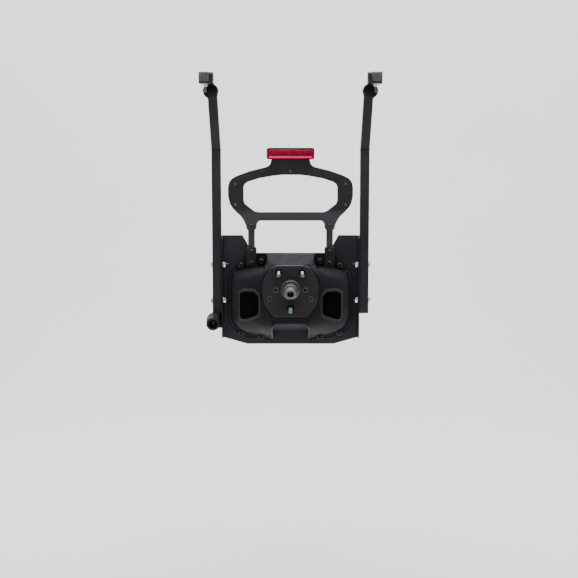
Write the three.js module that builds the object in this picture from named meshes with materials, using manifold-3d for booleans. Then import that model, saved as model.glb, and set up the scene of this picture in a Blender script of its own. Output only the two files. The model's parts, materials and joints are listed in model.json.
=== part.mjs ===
// Spare tyre carrier for the tailgate of an off-road vehicle.
// Millimetres. X runs along the tailgate, Y points into the vehicle, +Z is up.
// The origin is on the wheel's axis, in the face that bolts to the tailgate.
import * as THREE from 'three';
import Module from 'manifold-3d';
import { mergeVertices } from 'three/addons/utils/BufferGeometryUtils.js';
import { ConvexGeometry } from 'three/addons/geometries/ConvexGeometry.js';

const wasm = await Module();
wasm.setup();

// ---------------------------------------------------------------- driving dimensions
const GAP = 0.3;              // clearance between touching pieces
const PLATE_T = 5;            // tailgate plate thickness
const PLATE_HALF = 229;       // half width over the folded sides
const PLATE_TOP = 157;
const PLATE_LOW = -210;
const FOLD_T = 4.5;           // thickness of the folded sides
const FOLD_DEPTH = 42;        // how far the folded sides stand out

const DISC_Y = -185;          // wheel seat, measured from the tailgate
const DISC_T = 20;
const DISC_R = 89;
const STUD_PCD = 127;         // five-hole wheel pattern, three holes carry studs
const STUD_R = 6.5;
const STUD_HOLE_R = 11;
const STUD_REACH = 64;        // stud length in front of the disc

const WALL = 8;               // casting wall
const FLANGE_FRONT = -17;     // front of the casting's bolting flange
const CAST_BACK = -(PLATE_T + GAP);

const HUB_R = 31;
const HUB_LEN = 30;
const SLEEVE_R = 23;
const SLEEVE_LEN = 77;
const TUBE_R = 17.2;
const TUBE_BORE = 10.5;
const TUBE_TOP_LEN = 151;     // camera tube, along its upper edge
const TUBE_LOW_LEN = 108;     // and along its lower edge

const LEG = 30;               // square tube of the legs
const LEG_WALL = 2.5;
const LEG_X = PLATE_HALF + GAP + LEG / 2;
const LEG_FRONT = -38;
const LEG_LOW = -101;
const LEG_BEND_Z = 440;
const LEG_TOP_Z = 612;
const LEG_LEAN = 84;          // the top of a leg stands this far nearer the wheel
const LEG_SPLAY = 5;
const LEG_BOLT_Z = [61, -58];

const COLLAR_X = 255;
const COLLAR_Z = 628;
const COLLAR_R = 24;
const COLLAR_BORE = 19.5;
const COLLAR_Y = [-84, -126];
const COLLAR_WALL = 4;        // the collar is a cup: this closes its back
const BAR_Y = -120;           // axis of the roof rack's cross-bar
const BAR_Z = 668.9;
const BAR_R = 13;
const SADDLE_X = [258, 290];
const CLAMP_STUD_X = 269;
const CLAMP_STUD_Y = -145;

const ARM_X = 129;
const ARM_W = 22;
const ARM_T = 6;
const ARM_FRONT = -40;
const ARM_TOP = 203;
const SOCKET_W = 32;
const SOCKET_Z = [53, 119];
const SOCKET_BOLT_Z = [107, 69];
const HOOP_FRONT = -50;
const FOOT_Z = 191;
const LAMP_Z = [409.6, 446.5];
const LAMP_HALF = 78;

const STOP_X = -256;
const STOP_Z = -130;
const STOP_LEN = 84;

// ---------------------------------------------------------------- solids
function manifoldOf(geometry) {
  const bare = geometry.index ? geometry.toNonIndexed() : geometry.clone();
  for (const name of Object.keys(bare.attributes)) {
    if (name !== 'position') bare.deleteAttribute(name);
  }
  const merged = mergeVertices(bare, 1e-4);
  const solid = new wasm.Manifold(new wasm.Mesh({
    numProp: 3,
    vertProperties: new Float32Array(merged.attributes.position.array),
    triVerts: new Uint32Array(merged.index.array),
  }));
  return solid;
}

function geometryOf(solid) {
  const mesh = solid.getMesh();
  const geometry = new THREE.BufferGeometry();
  geometry.setAttribute('position', new THREE.BufferAttribute(new Float32Array(mesh.vertProperties), 3));
  geometry.setIndex(new THREE.BufferAttribute(new Uint32Array(mesh.triVerts), 1));
  const flat = geometry.toNonIndexed();
  flat.computeVertexNormals();
  return flat;
}

function join(...solids) {
  return solids.reduce((all, one) => all.add(one));
}

function cut(base, ...tools) {
  return tools.reduce((rest, tool) => rest.subtract(tool), base);
}

function mirror(points) {
  return points.map(([x, z]) => [-x, z]).reverse();
}

// Outline given for +X from top to bottom, closed by its own mirror image.
function symmetric(half) {
  return [...half, ...mirror(half)];
}

function shapeOf(points) {
  return new THREE.Shape(points.map(([x, z]) => new THREE.Vector2(x, z)));
}

// Prism of an outline in the X-Z plane, from yBack forward to yFront.
function prismY(points, yBack, yFront, bevel = 0) {
  const geometry = new THREE.ExtrudeGeometry(shapeOf(points), {
    depth: yBack - yFront - 2 * bevel,
    bevelEnabled: bevel > 0,
    bevelThickness: bevel,
    bevelSize: bevel,
    bevelOffset: -bevel,
    bevelSegments: 1,
    steps: 1,
  });
  geometry.rotateX(Math.PI / 2);
  geometry.translate(0, yBack - bevel, 0);
  return manifoldOf(geometry);
}

// Prism of an outline in the Y-Z plane, from x0 to x1.
function prismX(points, x0, x1) {
  const geometry = new THREE.ExtrudeGeometry(
    new THREE.Shape(points.map(([y, z]) => new THREE.Vector2(y, z))),
    { depth: x1 - x0, bevelEnabled: false },
  );
  geometry.rotateX(Math.PI / 2);
  geometry.rotateZ(Math.PI / 2);
  geometry.translate(x0, 0, 0);
  return manifoldOf(geometry);
}

function box(x0, x1, y0, y1, z0, z1) {
  const geometry = new THREE.BoxGeometry(x1 - x0, y1 - y0, z1 - z0);
  geometry.translate((x0 + x1) / 2, (y0 + y1) / 2, (z0 + z1) / 2);
  return manifoldOf(geometry);
}

function roundY(x, z, r, yBack, yFront, sides = 20, rFront = r) {
  const geometry = new THREE.CylinderGeometry(r, rFront, yBack - yFront, sides);
  geometry.translate(0, (yBack + yFront) / 2, 0);
  geometry.translate(x, 0, z);
  return manifoldOf(geometry);
}

function roundX(y, z, r, x0, x1, sides = 16) {
  const geometry = new THREE.CylinderGeometry(r, r, x1 - x0, sides);
  geometry.rotateZ(Math.PI / 2);
  geometry.translate((x0 + x1) / 2, y, z);
  return manifoldOf(geometry);
}

function roundZ(x, y, r, z0, z1, sides = 16) {
  const geometry = new THREE.CylinderGeometry(r, r, z1 - z0, sides);
  geometry.rotateX(Math.PI / 2);
  geometry.translate(x, y, (z0 + z1) / 2);
  return manifoldOf(geometry);
}

function arc(cx, cz, r, from, to, steps) {
  const points = [];
  for (let i = 0; i <= steps; i += 1) {
    const a = THREE.MathUtils.degToRad(from + ((to - from) * i) / steps);
    points.push([cx + r * Math.cos(a), cz + r * Math.sin(a)]);
  }
  return points;
}

function roundedRect(x0, x1, z0, z1, r, steps = 4) {
  return [
    ...arc(x1 - r, z1 - r, r, 0, 90, steps),
    ...arc(x0 + r, z1 - r, r, 90, 180, steps),
    ...arc(x0 + r, z0 + r, r, 180, 270, steps),
    ...arc(x1 - r, z0 + r, r, 270, 360, steps),
  ];
}

function hull(points) {
  return manifoldOf(new ConvexGeometry(points.map(([x, y, z]) => new THREE.Vector3(x, y, z))));
}

// ---------------------------------------------------------------- materials
function paint(color, roughness, metalness) {
  return () => new THREE.MeshStandardMaterial({ color, roughness, metalness });
}
const castBlack = paint(0x303134, 0.55, 0.3);
const plateBlack = paint(0x2a2a30, 0.5, 0.3);
const legBlack = paint(0x26262a, 0.65, 0.2);
const hoopBlack = paint(0x3a3834, 0.7, 0.05);
const zinc = paint(0xc8ccca, 0.3, 0.9);
const darkSteel = paint(0x4a4a4c, 0.45, 0.7);
const rubber = paint(0x161617, 0.85, 0);
const saddleGrey = paint(0x55555a, 0.8, 0.2);
const tubeGrey = paint(0x6c6a66, 0.4, 0.6);
const lensRed = paint(0xc81430, 0.2, 0);
const lensBlack = paint(0x0a0a0c, 0.15, 0);

const carrier = new THREE.Group();

function add(name, solid, material) {
  const mesh = new THREE.Mesh(geometryOf(solid), material());
  mesh.name = name;
  carrier.add(mesh);
}

// Adds a piece on the right (+X) and its mirror image on the left.
function addPair(name, solid, material) {
  add(`${name}_right`, solid, material);
  add(`${name}_left`, solid.mirror([1, 0, 0]), material);
}

// ---------------------------------------------------------------- tailgate plate
const legBoltY = LEG_FRONT + LEG / 2;
const castingBolts = [[164, 57], [98, 70], [164, -170], [98, -183]];
const plateOutline = symmetric([
  [128, 92],
  [144, 129],
  [160, PLATE_TOP],
  [PLATE_HALF, PLATE_TOP],
  [PLATE_HALF, -186],
  [145, PLATE_LOW],
]);
const foldRight = prismX([
  [0, PLATE_TOP],
  [-FOLD_DEPTH + 8, PLATE_TOP],
  [-FOLD_DEPTH, PLATE_TOP - 8],
  [-FOLD_DEPTH, -178],
  [-FOLD_DEPTH + 8, -186],
  [0, -186],
], PLATE_HALF - FOLD_T, PLATE_HALF);
let plate = join(prismY(plateOutline, 0, -PLATE_T), foldRight, foldRight.mirror([1, 0, 0]));
for (const side of [1, -1]) {
  for (const z of LEG_BOLT_Z) {
    const hole = roundX(legBoltY, z, 5.4, PLATE_HALF - 20, PLATE_HALF + 10, 10);
    plate = cut(plate, side > 0 ? hole : hole.mirror([1, 0, 0]));
  }
  for (const [x, z] of castingBolts) {
    plate = cut(plate, roundY(side * x, z, 5.4, 5, -10, 10));
  }
}
add('tailgate_plate', plate, plateBlack);

// ---------------------------------------------------------------- carrier casting
const flangeOutline = symmetric([
  [80, 98.5],
  [143, 98.5],
  [154, 88],
  [192, 47],
  [203, 32],
  [206, 18],
  [206, -128],
  [203, -140],
  [196, -152],
  [174, -178],
  [141, -187],
  [100, -192],
  [66, -197],
]);
// Sections of the dome, each a half outline at one distance from the tailgate.
const domeRings = [
  { y: FLANGE_FRONT, inset: 9, half: [[60, 80], [112, 52], [160, 45], [187, 38], [195, 24], [197, -124],
    [188, -144], [166, -162], [139, -173], [114, -178], [100, -182], [64, -190]] },
  { y: -66, inset: 9, half: [[60, 80], [108, 54], [155, 47], [183, 38], [191, 24], [192, -112],
    [184, -132], [162, -150], [130, -160], [64, -168]] },
  { y: -108, inset: 9, half: [[56, 78], [104, 56], [150, 44], [168, 32], [174, 16], [174, -92],
    [166, -110], [142, -130], [100, -146], [64, -152]] },
  { y: -144, inset: 9, half: [[52, 76], [94, 58], [126, 38], [136, 22], [138, -66], [126, -92],
    [92, -122], [62, -132]] },
  { y: -165, inset: 8, half: [[44, 75], [64, 67], [86, 44], [98, 12], [98, -24], [86, -60],
    [62, -112], [50, -120]] },
];
function ringPoints(ring, inset, shift) {
  const centreZ = -40;
  return symmetric(ring.half).map(([x, z]) => {
    const dx = x;
    const dz = z - centreZ;
    const length = Math.hypot(dx, dz);
    const k = (length - inset) / length;
    return [dx * k, ring.y + shift, centreZ + dz * k];
  });
}
const domeOuter = hull(domeRings.flatMap((ring) => ringPoints(ring, 0, 0)));
const hollowPoints = domeRings.flatMap((ring) => ringPoints(ring, ring.inset, WALL - 0.5));
for (const [x, , z] of ringPoints(domeRings[0], 14, 0)) {
  hollowPoints.push([x, 4, z]);
}
// The bridge slopes from the flange's top edge down to the wheel disc.
const bridge = hull([
  [80, CAST_BACK, 98.5], [-80, CAST_BACK, 98.5],
  [80, FLANGE_FRONT, 98.5], [-80, FLANGE_FRONT, 98.5],
  [74, -140, 71], [-74, -140, 71],
  [60, -152, 76], [-60, -152, 76],
  [42, -165, 75], [-42, -165, 75],
  [80, CAST_BACK, 40], [-80, CAST_BACK, 40],
  [64, -165, 40], [-64, -165, 40],
]);
const bridgeHollow = hull([
  [72, 4, 88], [-72, 4, 88],
  [46, -144, 69], [-46, -144, 69],
  [40, -157, 66], [-40, -157, 66],
  [72, 4, 30], [-72, 4, 30],
  [56, -157, 30], [-56, -157, 30],
]);
// Under the disc the casting is cut away down to a sloping web.
const archSlope = [[-190, -119], [-140, -119], [-16, -166], [10, -166], [10, -230], [-190, -230]];
const archHalf = [[38, -60], [44, -118], [58, -136], [58, -230]];
const archSides = prismY(symmetric(archHalf), 10, -190);
const archCut = prismX(archSlope, -80, 80).intersect(archSides);
const archKeepSides = prismY(symmetric(archHalf.map(([x, z]) => [x + WALL, z])), 10, -190);
const archKeep = prismX(archSlope.map(([y, z], i) => [y, i < 4 ? z + WALL : z]), -90, 90)
  .intersect(archKeepSides);
const hollow = cut(join(hull(hollowPoints), bridgeHollow), archKeep);
const windowHalf = [[103, -28], [103, -82], [109, -91], [146, -107], [158, -108], [165, -100],
  [165, -22], [148, -12.5], [117, -12.5]];
function scaled(points, centre, grow) {
  return points.map(([x, z]) => {
    const dx = x - centre[0];
    const dz = z - centre[1];
    const length = Math.hypot(dx, dz);
    return [centre[0] + (dx * (length + grow)) / length, centre[1] + (dz * (length + grow)) / length];
  });
}
const windowCentre = [135, -58];
const windowCut = prismY(windowHalf, -30, -190);
// A raised lip follows the dome round each window.
const lipBand = prismY(scaled(windowHalf, windowCentre, 8), -60, -172);
const lipShell = hull(domeRings.flatMap((ring) => ringPoints(ring, -3, -3)));
const lip = lipBand.intersect(lipShell);
const archLip = prismY(symmetric([
  [40, -60],
  [48, -110],
  [59, -117],
  [66, -130],
  [66, -230],
]), -25, -165).intersect(lipShell);
// Pockets beside the bridge leave room for two of the mounting bolts.
const pocket = prismY([[82, 60], [82, 120], [150, 120], [150, 53], [116, 53], [88, 56]], FLANGE_FRONT, -190);
const flange = prismY(flangeOutline, CAST_BACK, FLANGE_FRONT);

let casting = join(domeOuter, bridge, lip, lip.mirror([1, 0, 0]), archLip);
casting = cut(casting, pocket, pocket.mirror([1, 0, 0]));
casting = join(casting, flange);
casting = cut(casting, archCut, hollow, windowCut, windowCut.mirror([1, 0, 0]));
casting = cut(casting, box(-260, 260, CAST_BACK, 20, -260, 260));
const studAngles = [90 + 36, 90 - 36, 270];
const studPlaces = studAngles.map((deg) => {
  const a = THREE.MathUtils.degToRad(deg);
  return [(STUD_PCD / 2) * Math.cos(a), (STUD_PCD / 2) * Math.sin(a)];
});
for (const side of [1, -1]) {
  for (const [x, z] of castingBolts) {
    const boss = roundY(side * x, z, 12.5, FLANGE_FRONT + 2, FLANGE_FRONT - 3, 16);
    casting = cut(casting, roundY(side * x, z, 12.8, FLANGE_FRONT - 2, -90, 16));
    casting = join(casting, boss);
    casting = cut(casting, roundY(side * x, z, 5.4, 5, -60, 10));
  }
}
for (const [x, z] of studPlaces) {
  casting = cut(casting, roundY(x, z, STUD_R + 0.6, -100, -190, 14));
}
add('carrier_casting', casting, castBlack);

// ---------------------------------------------------------------- wheel disc and studs
const discOutline = symmetric([
  [42, 74.5],
  ...arc(0, 0, DISC_R, 50, -8, 10),
  [87, -27],
  [84, -44],
  [76.5, -61],
  [64, -77],
  [51, -91],
]);
let disc = prismY(discOutline, -165 - GAP, DISC_Y, 2);
for (const [x, z] of studPlaces) {
  disc = cut(disc, roundY(x, z, STUD_HOLE_R, -150, -200, 18));
}
for (const side of [1, -1]) {
  const rim = roundY(side * 47, -4, 8.5, DISC_Y + 4, DISC_Y - 1.6, 16);
  disc = cut(join(disc, rim), roundY(side * 47, -4, 4.2, -150, -200, 12));
  const plugRing = cut(roundY(side * 66, -32, 8.5, DISC_Y + 2, DISC_Y - 1.2, 16),
    roundY(side * 66, -32, 6.2, DISC_Y, DISC_Y - 4, 16));
  disc = join(disc, plugRing);
}
add('wheel_disc', disc, castBlack);

const studNames = ['wheel_stud_top_left', 'wheel_stud_top_right', 'wheel_stud_bottom'];
studPlaces.forEach(([x, z], i) => {
  const head = roundY(x, z, 11, -150, -165 + WALL - GAP, 16);
  const front = DISC_Y - STUD_REACH;
  const shank = roundY(x, z, STUD_R, -151, front + 3, 16);
  const nose = roundY(x, z, STUD_R, front + 3, front, 16, STUD_R - 2.5);
  add(studNames[i], join(head, shank, nose), zinc);
});

// ---------------------------------------------------------------- camera hub
const hubRing = cut(roundY(0, 0, HUB_R, DISC_Y - GAP, DISC_Y - HUB_LEN, 32),
  roundY(0, 0, SLEEVE_R + GAP, -180, -230, 28));
add('hub_ring', hubRing, castBlack);
const sleeve = cut(roundY(0, 0, SLEEVE_R, DISC_Y - GAP, DISC_Y - SLEEVE_LEN, 28),
  roundY(0, 0, TUBE_R + GAP, -180, -280, 28));
add('hub_sleeve', sleeve, castBlack);
const tubeTop = DISC_Y - TUBE_TOP_LEN;
const tubeLow = DISC_Y - TUBE_LOW_LEN;
// The tube's nose is cut at a slant: its lower edge stands further back than its upper edge.
function noseY(z) {
  return tubeLow + (tubeTop - tubeLow) * (z + TUBE_R) / (2 * TUBE_R);
}
const noseCut = prismX([
  [noseY(-30), -30],
  [noseY(30), 30],
  [noseY(30) - 40, 30],
  [noseY(30) - 40, -30],
], -30, 30);
const tubeSolid = cut(roundY(0, 0, TUBE_R, DISC_Y - GAP, tubeTop - 2, 28), noseCut);
const cameraTube = cut(tubeSolid, roundY(0, 0, TUBE_BORE, DISC_Y - 30, tubeTop - 10, 24));
add('camera_tube', cameraTube, tubeGrey);
const cameraBody = join(roundY(0, 0, TUBE_BORE - GAP, DISC_Y - 40, DISC_Y - 92, 24),
  roundY(0, 0, 7.5, DISC_Y - 91, DISC_Y - 96, 24, 5));
add('camera_module', cameraBody, lensBlack);

// ---------------------------------------------------------------- fasteners of the casting
// Flanged hex screw along Y: head in front of yFace, shank back to yEnd.
function screwY(x, z, yFace, yEnd, r, across, head, sides = 10) {
  const washer = roundY(x, z, across * 0.62, yFace - GAP, yFace - GAP - 2, 14);
  const hex = roundY(x, z, across / Math.sqrt(3), yFace - GAP - 1.5, yFace - GAP - head, 6);
  const shank = roundY(x, z, r, yEnd, yFace - GAP - 1, sides);
  return join(washer, hex, shank);
}
const boltNames = ['upper_outer', 'upper_inner', 'lower_outer', 'lower_inner'];
castingBolts.forEach(([x, z], i) => {
  addPair(`casting_bolt_${boltNames[i]}`,
    screwY(x, z, FLANGE_FRONT - 3, -0.5, 5, 15, 9), darkSteel);
});

// ---------------------------------------------------------------- legs
const half = LEG / 2;
const legCentreY = LEG_FRONT + half;
const legHoles = LEG_BOLT_Z.map((z) => roundX(legBoltY, z, 5.4, LEG_X - 30, LEG_X + 30, 10));
function squareTube(centre0, centre1, size) {
  const corner = 4 * (size / LEG);
  const section = roundedRect(-size / 2, size / 2, -size / 2, size / 2, corner, 2);
  const geometry = new THREE.ExtrudeGeometry(shapeOf(section), { depth: 1, bevelEnabled: false });
  const position = geometry.attributes.position;
  for (let i = 0; i < position.count; i += 1) {
    const t = position.getZ(i);
    position.setXYZ(i,
      centre0[0] + t * (centre1[0] - centre0[0]) + position.getX(i),
      centre0[1] + t * (centre1[1] - centre0[1]) + position.getY(i),
      centre0[2] + t * (centre1[2] - centre0[2]));
  }
  return manifoldOf(geometry);
}
// The lower leg is upright and closed at its foot; the upper leg leans forward from the welded mitre.
const lowStart = [LEG_X, legCentreY, LEG_LOW];
const lowEnd = [LEG_X, legCentreY, LEG_BEND_Z - GAP];
const lowerLeg = cut(squareTube(lowStart, lowEnd, LEG),
  squareTube([LEG_X, legCentreY, LEG_LOW + LEG_WALL], [LEG_X, legCentreY, LEG_BEND_Z + 5], LEG - 2 * LEG_WALL),
  ...legHoles);
addPair('leg_lower', lowerLeg, legBlack);
const rise = LEG_TOP_Z - LEG_BEND_Z;
function alongUpper(t) {
  return [LEG_X + LEG_SPLAY * t, legCentreY - LEG_LEAN * t, LEG_BEND_Z + rise * t];
}
const collarHalf = COLLAR_R + GAP;
const collarBlank = roundY(COLLAR_X, COLLAR_Z, collarHalf, 20, -260, 28);
const upperLeg = cut(squareTube(alongUpper(0), alongUpper(1), LEG),
  squareTube(alongUpper(-0.05), alongUpper(1.05), LEG - 2 * LEG_WALL),
  collarBlank);
addPair('leg_upper', upperLeg, legBlack);

const legBolt = join(
  roundX(legBoltY, LEG_BOLT_Z[0], 9.8, LEG_X + half + GAP, LEG_X + half + GAP + 6.5, 6),
  roundX(legBoltY, LEG_BOLT_Z[0], 11, LEG_X + half + GAP, LEG_X + half + GAP + 2, 16),
  roundX(legBoltY, LEG_BOLT_Z[0], 5, PLATE_HALF - FOLD_T - 17, LEG_X + half + GAP + 1, 10),
);
const legNut = cut(
  join(roundX(legBoltY, LEG_BOLT_Z[0], 9.8, PLATE_HALF - FOLD_T - GAP - 9, PLATE_HALF - FOLD_T - GAP, 6),
    roundX(legBoltY, LEG_BOLT_Z[0], 11, PLATE_HALF - FOLD_T - GAP - 2, PLATE_HALF - FOLD_T - GAP, 16)),
  roundX(legBoltY, LEG_BOLT_Z[0], 5.3, PLATE_HALF - 40, PLATE_HALF, 10),
);
const drop = LEG_BOLT_Z[1] - LEG_BOLT_Z[0];
addPair('leg_bolt_upper', legBolt, zinc);
addPair('leg_bolt_lower', legBolt.translate([0, 0, drop]), zinc);
addPair('leg_nut_upper', legNut, zinc);
addPair('leg_nut_lower', legNut.translate([0, 0, drop]), zinc);

// ---------------------------------------------------------------- roof rack clamps
const baseLow = COLLAR_Z + COLLAR_R - 1.5;
const baseTop = BAR_Z - BAR_R;
const collar = cut(roundY(COLLAR_X, COLLAR_Z, COLLAR_R, COLLAR_Y[0], COLLAR_Y[1], 28),
  roundY(COLLAR_X, COLLAR_Z, COLLAR_BORE, COLLAR_Y[0] - COLLAR_WALL, -260, 24),
  box(200, 320, -200, 0, baseLow, 700));
addPair('leg_collar', collar, legBlack);
// Cradle: a base plate on the collar and a fork that holds the cross-bar.
const cradleBase = box(246, SADDLE_X[1], -159, COLLAR_Y[0], baseLow + GAP, baseTop);
const forkOutline = [
  [BAR_Y - 24, baseLow + GAP], [BAR_Y + 24, baseLow + GAP], [BAR_Y + 24, BAR_Z + 12],
  [BAR_Y + 20, BAR_Z + 17], [BAR_Y + BAR_R, BAR_Z + 17],
  ...arc(BAR_Y, BAR_Z, BAR_R, 0, -180, 12),
  [BAR_Y - BAR_R, BAR_Z + 17], [BAR_Y - 20, BAR_Z + 17], [BAR_Y - 24, BAR_Z + 12],
];
const fork = prismX(forkOutline, 246, SADDLE_X[0] - GAP);
const cradle = cut(join(cradleBase, fork), roundZ(CLAMP_STUD_X, CLAMP_STUD_Y, 4.4, 600, 700, 16));
addPair('clamp_cradle', cradle, legBlack);
// Saddle: caps the cross-bar and carries the clamp stud.
const saddleOutline = [
  [BAR_Y - 40, baseTop + GAP], [BAR_Y - BAR_R, baseTop + GAP],
  ...arc(BAR_Y, BAR_Z, BAR_R, 180, 0, 12),
  [BAR_Y + BAR_R, baseTop + GAP], [BAR_Y + 23, baseTop + GAP], [BAR_Y + 23, BAR_Z + 12],
  [BAR_Y + 17, BAR_Z + 18], [BAR_Y - 36, BAR_Z + 18], [BAR_Y - 40, BAR_Z + 14],
];
const saddle = cut(prismX(saddleOutline, SADDLE_X[0], SADDLE_X[1]),
  roundZ(CLAMP_STUD_X, CLAMP_STUD_Y, 4.4, 600, BAR_Z + 4, 16));
addPair('clamp_saddle', saddle, saddleGrey);
addPair('clamp_stud', roundZ(CLAMP_STUD_X, CLAMP_STUD_Y, 4, 623, BAR_Z + 3.5, 16), zinc);
addPair('clamp_washer', cut(
  roundZ(CLAMP_STUD_X, CLAMP_STUD_Y, 12, baseLow - 2, baseLow, 20),
  roundZ(CLAMP_STUD_X, CLAMP_STUD_Y, 4.3, 600, 700, 16)), zinc);
addPair('clamp_nut', cut(
  join(roundZ(CLAMP_STUD_X, CLAMP_STUD_Y, 7.5, baseLow - 8.5, baseLow - 2 - GAP, 6),
    roundZ(CLAMP_STUD_X, CLAMP_STUD_Y, 6, baseLow - 10.5, baseLow - 8, 20)),
  roundZ(CLAMP_STUD_X, CLAMP_STUD_Y, 4.2, 600, 700, 16)), zinc);

// ---------------------------------------------------------------- brake light bracket
const armBack = ARM_FRONT + ARM_T;
const armLow = SOCKET_Z[0] + 4;
const armHalf = ARM_W / 2;
const slotTop = SOCKET_BOLT_Z[0] + 0.5;
const armOutline = [
  [ARM_X - armHalf, ARM_TOP - 9], [ARM_X - armHalf + 6, ARM_TOP], [ARM_X + armHalf - 6, ARM_TOP],
  [ARM_X + armHalf, ARM_TOP - 9], [ARM_X + armHalf, armLow], [ARM_X + 3.8, armLow],
  ...arc(ARM_X, slotTop, 3.8, 0, 180, 8),
  [ARM_X - 3.8, armLow], [ARM_X - armHalf, armLow],
];
const arm = cut(prismY(armOutline, armBack, ARM_FRONT), roundY(ARM_X, FOOT_Z, 4.3, 0, -90, 16));
addPair('light_arm', arm, hoopBlack);

const socketHalf = SOCKET_W / 2;
const socketFront = ARM_FRONT - 7;
const socketOutline = roundedRect(ARM_X - socketHalf, ARM_X + socketHalf, SOCKET_Z[0], SOCKET_Z[1], 3, 2);
let socket = cut(prismY(socketOutline, FLANGE_FRONT - GAP, socketFront, 1),
  box(ARM_X - armHalf - 0.4, ARM_X + armHalf + 0.4, ARM_FRONT - 0.4, armBack + 0.4, SOCKET_Z[0] + 3, 140));
for (const z of SOCKET_BOLT_Z) {
  socket = cut(socket, roundY(ARM_X, z, 3.3, -24, -60, 14));
}
addPair('arm_socket', socket, legBlack);
SOCKET_BOLT_Z.forEach((z, i) => {
  addPair(`socket_bolt_${['upper', 'lower'][i]}`,
    screwY(ARM_X, z, socketFront, -25, 3, 10, 5.5, 10), darkSteel);
});

const hoopOutline = symmetric([
  [63, 409],
  [65, 397],
  [70, 389],
  [80, 384],
  [133, 371],
  [176, 355.5],
  [193, 346],
  [201, 335],
  [205, 318],
  [205, 290],
  [200, 267],
  [192, 252],
  [178, 237],
  [162, 222],
  [153, 208],
  [148.5, 196],
  ...arc(ARM_X, FOOT_Z, 17.5, -8, -172, 10),
  [110.5, 197],
  [106, 205],
  [98, 209],
]);
const openingOutline = symmetric([
  [26, 359],
  [54, 356.5],
  [104, 347.5],
  [140, 336],
  [150, 329],
  [154, 318],
  [154, 275],
  [150, 264],
  [124, 243],
  [116, 238.5],
  [106, 236.5],
]);
let hoop = prismY(hoopOutline, ARM_FRONT - GAP, HOOP_FRONT, 2);
hoop = cut(hoop, prismY(openingOutline, 0, -90));
for (const side of [1, -1]) {
  hoop = cut(hoop, roundY(side * ARM_X, FOOT_Z, 4.3, 0, -90, 16));
}
// A shelf behind the neck carries the lamp.
hoop = join(hoop, box(-62, 62, HOOP_FRONT + 3, -24, 396, 409));
add('hoop_frame', hoop, hoopBlack);
const footBolt = join(
  roundY(ARM_X, FOOT_Z, 8, HOOP_FRONT - GAP, HOOP_FRONT - 4, 24),
  roundY(ARM_X, FOOT_Z, 4, armBack + 5, HOOP_FRONT - 1, 16),
);
addPair('foot_bolt', footBolt, darkSteel);

const lampHousing = prismY(roundedRect(-LAMP_HALF, LAMP_HALF, LAMP_Z[0], LAMP_Z[1], 7, 4), -26, -58, 2);
add('lamp_housing', lampHousing, lensBlack);
add('lamp_lens', prismY(roundedRect(-75, 75, 411, 441, 6, 4), -58 - GAP, -66, 2.5), lensRed);

// ---------------------------------------------------------------- tyre stop
const tabOutline = [
  [-PLATE_HALF - GAP, -104],
  [STOP_X, -104],
  ...arc(STOP_X, STOP_Z, 26, 90, 270, 12),
  [-PLATE_HALF - GAP, -156],
];
const tab = cut(prismY(tabOutline, 0, -4), roundY(STOP_X, STOP_Z, 6, 5, -10, 16));
add('tyre_stop_tab', tab, plateBlack);
const stopProfile = [
  [0, 0], [26.5, 0], [26.5, 5], [25, 9], [23.5, 14], [21.5, STOP_LEN - 4], [19.5, STOP_LEN],
  [15.5, STOP_LEN], [14, STOP_LEN - 4], [14, STOP_LEN - 34], [0, STOP_LEN - 34],
].map(([r, h]) => new THREE.Vector2(r, h));
const stopGeometry = new THREE.LatheGeometry(stopProfile, 20);
stopGeometry.rotateX(Math.PI);
stopGeometry.translate(STOP_X, -4 - GAP, STOP_Z);
add('tyre_stop_bumper', manifoldOf(stopGeometry), rubber);

export default carrier;
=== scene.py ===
# Looks of the spare tyre carrier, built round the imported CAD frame.
# Lengths in the tables below are millimetres; every object is made in metres.
import json
import math

import bmesh
import bpy
import numpy as np
from mathutils import Matrix, Vector
from mathutils.bvhtree import BVHTree


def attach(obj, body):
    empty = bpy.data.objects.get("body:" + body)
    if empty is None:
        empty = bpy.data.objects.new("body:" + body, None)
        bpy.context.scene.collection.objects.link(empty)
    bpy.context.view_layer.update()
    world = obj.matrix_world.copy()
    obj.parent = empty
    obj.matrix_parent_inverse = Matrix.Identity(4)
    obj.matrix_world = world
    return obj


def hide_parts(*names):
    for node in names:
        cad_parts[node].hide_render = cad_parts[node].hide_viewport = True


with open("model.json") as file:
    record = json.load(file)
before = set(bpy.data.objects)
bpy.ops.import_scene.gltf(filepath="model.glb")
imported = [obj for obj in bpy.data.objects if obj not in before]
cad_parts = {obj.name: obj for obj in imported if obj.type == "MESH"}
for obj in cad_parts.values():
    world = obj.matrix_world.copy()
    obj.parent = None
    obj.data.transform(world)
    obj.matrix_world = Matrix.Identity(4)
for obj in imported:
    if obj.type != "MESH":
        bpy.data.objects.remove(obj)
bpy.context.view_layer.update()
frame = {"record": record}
MM = 0.001


# -------- material helpers
def nodes_of(name):
    mat = bpy.data.materials.new(name)
    mat.use_nodes = True
    tree = mat.node_tree
    shader = tree.nodes["Principled BSDF"]
    coords = tree.nodes.new("ShaderNodeTexCoord")
    return mat, tree, shader, coords


def noise(tree, coords, scale, octaves=4.0, rough=0.55):
    node = tree.nodes.new("ShaderNodeTexNoise")
    node.inputs["Scale"].default_value = scale
    node.inputs["Detail"].default_value = octaves
    node.inputs["Roughness"].default_value = rough
    tree.links.new(coords.outputs["Object"], node.inputs["Vector"])
    return node.outputs["Fac"]


def ramp(tree, value, stops):
    node = tree.nodes.new("ShaderNodeValToRGB")
    for element, (place, color) in zip(node.color_ramp.elements, stops):
        element.position = place
        element.color = (*color, 1.0)
    tree.links.new(value, node.inputs["Fac"])
    return node.outputs["Color"]


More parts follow.
